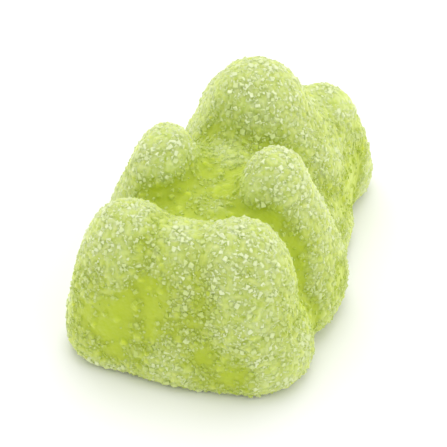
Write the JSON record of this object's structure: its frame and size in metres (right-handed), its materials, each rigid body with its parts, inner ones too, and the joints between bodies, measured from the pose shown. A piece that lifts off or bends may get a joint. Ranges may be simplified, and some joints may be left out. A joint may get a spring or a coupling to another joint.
{
  "type": "gummy bear",
  "caption": "Pale green sour gummy bear lying on its back, arms, legs and snout up, frosted all over with fine sugar.",
  "frame": {"origin": "middle of the flat back, on the surface that the bear lies on", "axes": "+Z out of the belly and up, +Y from the feet to the head, X across from side to side"},
  "size_m": [0.0132, 0.022, 0.0106],
  "materials": {
    "green_jelly": "soft translucent yellow-green fruit jelly, faintly pitted, dull under its sugar",
    "sour_sugar": "coat of fine clear-white sugar crystals a tenth to a third of a millimetre across, thickest on the tops"
  },
  "bodies": {
    "root": {"gummy_bear": "green_jelly"}
  },
  "joints": []
}
